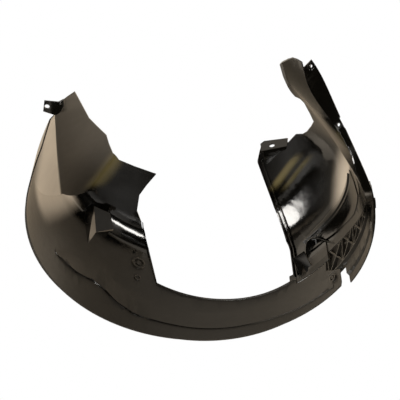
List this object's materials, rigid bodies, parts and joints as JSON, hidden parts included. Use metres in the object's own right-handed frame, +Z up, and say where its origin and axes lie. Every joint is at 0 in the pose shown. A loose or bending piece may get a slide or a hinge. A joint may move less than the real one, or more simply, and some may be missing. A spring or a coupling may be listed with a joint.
{
  "type": "wheel arch liner",
  "caption": "Moulded plastic liner for a front wheel arch: a curved crown strip, a walled rear leg, a deep front bowl with an arm, stiffening ribs and fixing tabs.",
  "frame": {"origin": "on the wheel's axis, in the plane of the arch lip", "axes": "+X to the rear of the car, +Y inboard along the wheel's axis, +Z up"},
  "size_m": [0.7011, 0.308, 0.6316],
  "materials": {
    "liner_plastic": "moulded black plastic, glossy"
  },
  "bodies": {
    "root": {"wheel_arch_liner": "liner_plastic"}
  },
  "joints": []
}
